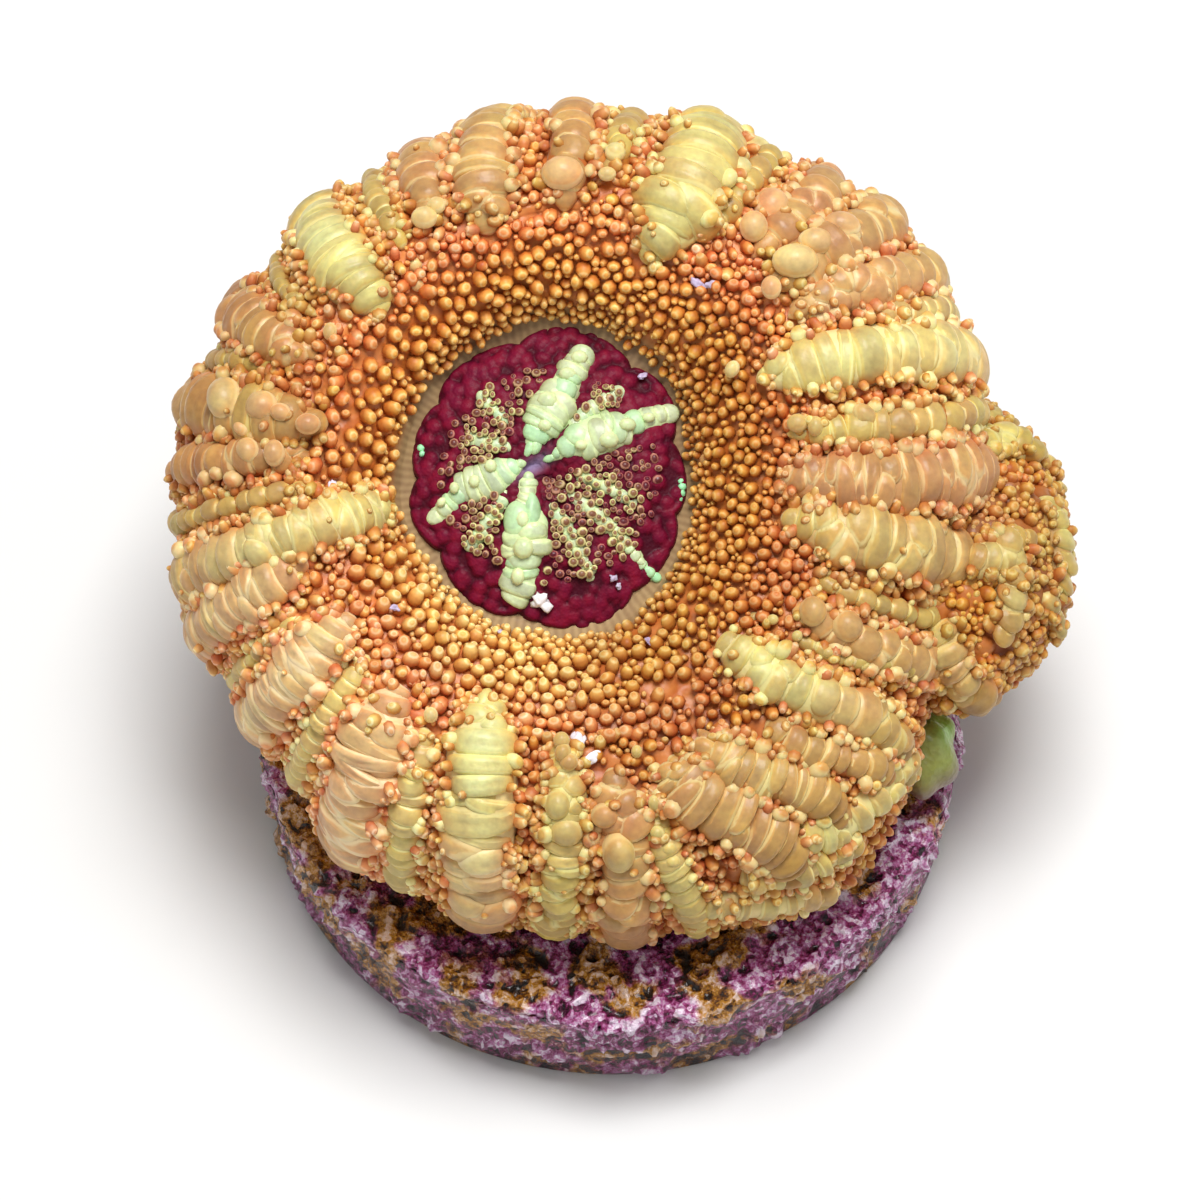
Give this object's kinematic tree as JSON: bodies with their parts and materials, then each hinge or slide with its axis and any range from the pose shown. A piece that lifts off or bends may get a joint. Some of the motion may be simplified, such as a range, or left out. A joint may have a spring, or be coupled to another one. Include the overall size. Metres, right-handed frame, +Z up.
{
  "type": "acan coral on a frag plug",
  "caption": "Fleshy acan coral polyp with a sunken mouth disc and a side bud, grown over a round flat ceramic frag plug that it rests on.",
  "frame": {"origin": "centre of the plug's flat underside", "axes": "+Z up out of the plug, -Y the side the main polyp leans towards, +X towards the side polyp"},
  "size_m": [0.0401, 0.0385, 0.0266],
  "materials": {
    "crusted_plug": "matte",
    "orange_flesh": "satin",
    "bud_flesh": "satin",
    "green_tissue": "satin",
    "mouth_disc": "satin",
    "pale_ribs": "satin"
  },
  "bodies": {
    "root": {"frag_plug": "crusted_plug", "main_polyp": "orange_flesh", "side_polyp": "bud_flesh", "base_knob": "green_tissue"}
  },
  "joints": []
}
